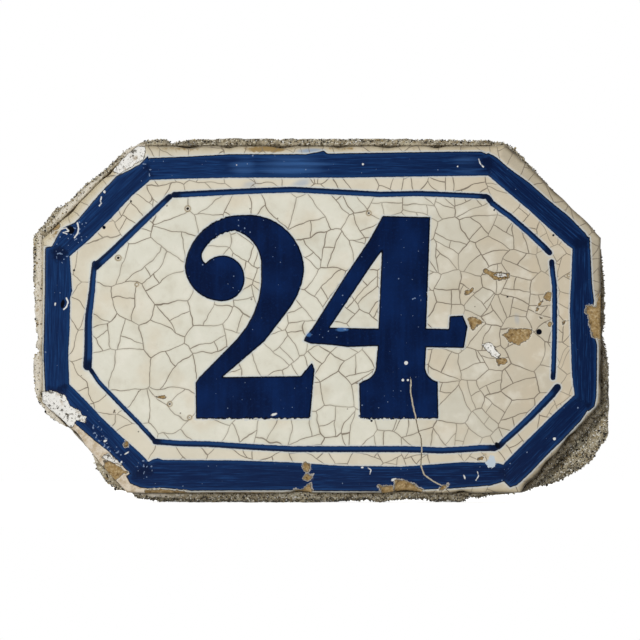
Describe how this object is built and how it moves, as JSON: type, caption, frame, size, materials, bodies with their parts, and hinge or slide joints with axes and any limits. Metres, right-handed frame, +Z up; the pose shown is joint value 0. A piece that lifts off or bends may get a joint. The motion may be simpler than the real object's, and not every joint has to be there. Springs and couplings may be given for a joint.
{
  "type": "house number plaque",
  "caption": "Cut-cornered glazed earthenware plaque with painted border and figures, on its broken bed of wall mortar.",
  "frame": {"origin": "on the mortar's flat back, behind the middle of the tile", "axes": "+X to the reader's right, +Z up, -Y out of the wall towards the reader"},
  "size_m": [0.2065, 0.0192, 0.1304],
  "materials": {
    "tin_glaze": "gloss",
    "cement_mortar": "matte",
    "cobalt_border": "gloss",
    "cobalt_line": "gloss",
    "cobalt_figures": "gloss"
  },
  "bodies": {
    "root": {"tile": "tin_glaze", "mortar_bed": "cement_mortar", "border_band": "cobalt_border", "inner_line": "cobalt_line", "digit_two": "cobalt_figures", "digit_four": "cobalt_figures"}
  },
  "joints": []
}
